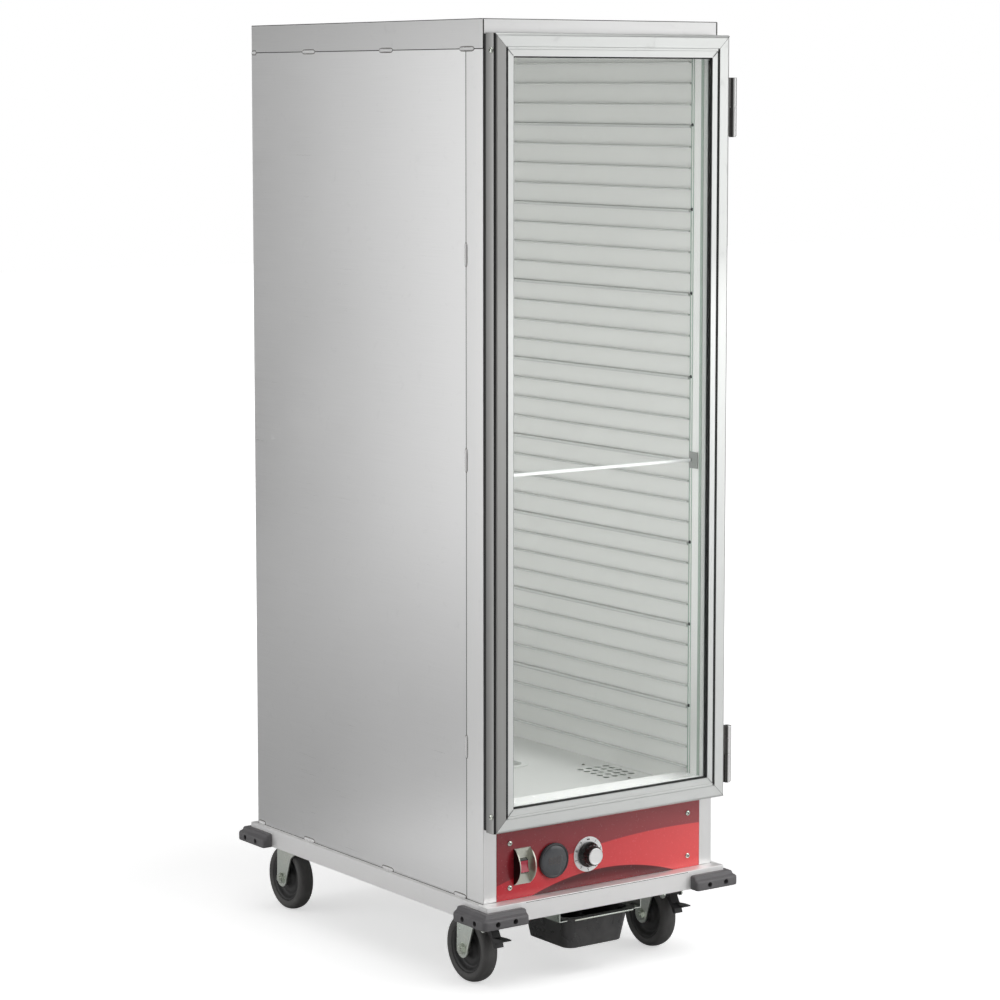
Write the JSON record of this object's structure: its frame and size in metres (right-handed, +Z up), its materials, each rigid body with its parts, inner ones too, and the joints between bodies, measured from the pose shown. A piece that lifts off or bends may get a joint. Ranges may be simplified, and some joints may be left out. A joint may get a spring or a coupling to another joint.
{
  "type": "proofing cabinet",
  "caption": "Tall aluminium heated proofing cabinet on swivel casters, with a full-height clear hinged door, ribbed pan slides, a red control panel below it and corner bumpers",
  "frame": {"origin": "on the floor, at the middle of the rectangle round the four corner bumpers", "axes": "+Z up, +Y from the door to the back, +X to the right seen from the front"},
  "size_m": [0.576, 0.84, 1.7185],
  "materials": {
    "satin_aluminium": "satin mill finish",
    "bright_aluminium": "bright satin extrusion",
    "zinc_steel": "bright zinc plate",
    "black_steel": "satin black",
    "dark_steel": "heat-dulled",
    "panel_red": "printed gloss red in three tones",
    "nickel": "polished nickel",
    "silver_trim": "polished",
    "black_plastic": "moulded",
    "smoked_plastic": "smoked gloss",
    "red_plastic": "translucent red",
    "drip_plastic": "moulded, satin gloss",
    "bumper_rubber": "matte grey",
    "wheel_rubber": "matte dark grey",
    "seal_rubber": "matte black",
    "clear_pane": "clear, polished",
    "weld_metal": "bright as-welded"
  },
  "bodies": {
    "cabinet": {"base_frame": "bright_aluminium", "bottom_tray": "satin_aluminium", "left_front_post": "bright_aluminium", "right_front_post": "bright_aluminium", "left_side_panel": "satin_aluminium", "right_side_panel": "satin_aluminium", "back_panel": "satin_aluminium", "top_cap": "bright_aluminium", "ceiling_panel": "satin_aluminium", "wall_planks": "satin_aluminium", "pan_slides": "bright_aluminium", "interior_floor": "satin_aluminium", "door_sill": "bright_aluminium", "tie_rod": "zinc_steel", "weld_beads": "weld_metal", "control_panel": "panel_red", "frame_fasteners": "zinc_steel", "switch_guard": "nickel", "switch_body": "black_plastic", "temperature_display": "smoked_plastic", "dial_plate": "bright_aluminium", "thermostat_body": "zinc_steel", "heating_element": "dark_steel", "blower_housing": "zinc_steel", "blower_motor": "dark_steel", "drip_pan_hanger": "zinc_steel", "corner_bumpers": "bumper_rubber", "hinge_frame_leaves": "black_steel", "hinge_pins": "black_steel", "cord_bushing": "black_plastic", "caster_plates": "zinc_steel"},
    "door": {"door_left_stile": "bright_aluminium", "door_right_stile": "bright_aluminium", "door_top_rail": "bright_aluminium", "door_bottom_rail": "bright_aluminium", "door_pane": "clear_pane", "glazing_seal": "seal_rubber", "door_seal": "seal_rubber", "door_screws": "zinc_steel", "hinge_door_leaves": "black_steel"},
    "switch_rocker": {"power_rocker": "red_plastic"},
    "knob": {"heat_knob": "black_plastic", "knob_cap": "silver_trim"},
    "water_tray": {"water_pan": "satin_aluminium"},
    "drip_tray": {"drip_pan": "drip_plastic"},
    "fan": {"blower_wheel": "zinc_steel"},
    "swivel_front_left": {"fork_front_left": "zinc_steel", "axle_front_left": "zinc_steel"},
    "wheel_front_left": {"wheel_front_left": "wheel_rubber"},
    "swivel_front_right": {"fork_front_right": "zinc_steel", "axle_front_right": "zinc_steel"},
    "wheel_front_right": {"wheel_front_right": "wheel_rubber"},
    "swivel_rear_left": {"fork_rear_left": "zinc_steel", "axle_rear_left": "zinc_steel"},
    "wheel_rear_left": {"wheel_rear_left": "wheel_rubber"},
    "swivel_rear_right": {"fork_rear_right": "zinc_steel", "axle_rear_right": "zinc_steel"},
    "wheel_rear_right": {"wheel_rear_right": "wheel_rubber"},
    "brake_left": {"brake_pedal_left": "black_plastic"},
    "brake_right": {"brake_pedal_right": "black_plastic"}
  },
  "joints": [
    {"name": "door_hinge", "type": "hinge", "parent": "cabinet", "child": "door", "pos_m": [0.27, -0.405, 1], "axis": [0, 0, 1], "range_deg": [0, 180]},
    {"name": "power_switch", "type": "hinge", "parent": "cabinet", "child": "switch_rocker", "pos_m": [-0.1745, -0.375, 0.231], "axis": [1, 0, 0], "range_deg": [0, 18]},
    {"name": "heat_dial", "type": "hinge", "parent": "cabinet", "child": "knob", "pos_m": [-0.028, -0.395, 0.231], "axis": [0, 1, 0], "range_deg": [0, 300]},
    {"name": "water_pan_lift", "type": "slide", "parent": "cabinet", "child": "water_tray", "axis": [0, 0, 1], "range_m": [0, 0.08]},
    {"name": "drip_pan_slide", "type": "slide", "parent": "cabinet", "child": "drip_tray", "axis": [0, -1, 0], "range_m": [0, 0.15]},
    {"name": "blower_spin", "type": "hinge", "parent": "cabinet", "child": "fan", "pos_m": [0.184, -0.15, 0.28], "axis": [0, 0, 1], "continuous": true},
    {"name": "swivel_front_left", "type": "hinge", "parent": "cabinet", "child": "swivel_front_left", "pos_m": [-0.204, -0.298, 0.15], "axis": [0, 0, 1], "continuous": true},
    {"name": "roll_front_left", "type": "hinge", "parent": "swivel_front_left", "child": "wheel_front_left", "pos_m": [-0.204, -0.263, 0.0635], "axis": [1, 0, 0], "continuous": true},
    {"name": "swivel_front_right", "type": "hinge", "parent": "cabinet", "child": "swivel_front_right", "pos_m": [0.204, -0.298, 0.15], "axis": [0, 0, 1], "continuous": true},
    {"name": "roll_front_right", "type": "hinge", "parent": "swivel_front_right", "child": "wheel_front_right", "pos_m": [0.204, -0.263, 0.0635], "axis": [1, 0, 0], "continuous": true},
    {"name": "swivel_rear_left", "type": "hinge", "parent": "cabinet", "child": "swivel_rear_left", "pos_m": [-0.204, 0.321, 0.15], "axis": [0, 0, 1], "continuous": true},
    {"name": "roll_rear_left", "type": "hinge", "parent": "swivel_rear_left", "child": "wheel_rear_left", "pos_m": [-0.204, 0.356, 0.0635], "axis": [1, 0, 0], "continuous": true},
    {"name": "swivel_rear_right", "type": "hinge", "parent": "cabinet", "child": "swivel_rear_right", "pos_m": [0.204, 0.321, 0.15], "axis": [0, 0, 1], "continuous": true},
    {"name": "roll_rear_right", "type": "hinge", "parent": "swivel_rear_right", "child": "wheel_rear_right", "pos_m": [0.204, 0.356, 0.0635], "axis": [1, 0, 0], "continuous": true},
    {"name": "brake_left", "type": "hinge", "parent": "swivel_front_left", "child": "brake_left", "pos_m": [-0.204, -0.326, 0.1135], "axis": [1, 0, 0], "range_deg": [0, 12]},
    {"name": "brake_right", "type": "hinge", "parent": "swivel_front_right", "child": "brake_right", "pos_m": [0.204, -0.326, 0.1135], "axis": [1, 0, 0], "range_deg": [0, 12]}
  ]
}
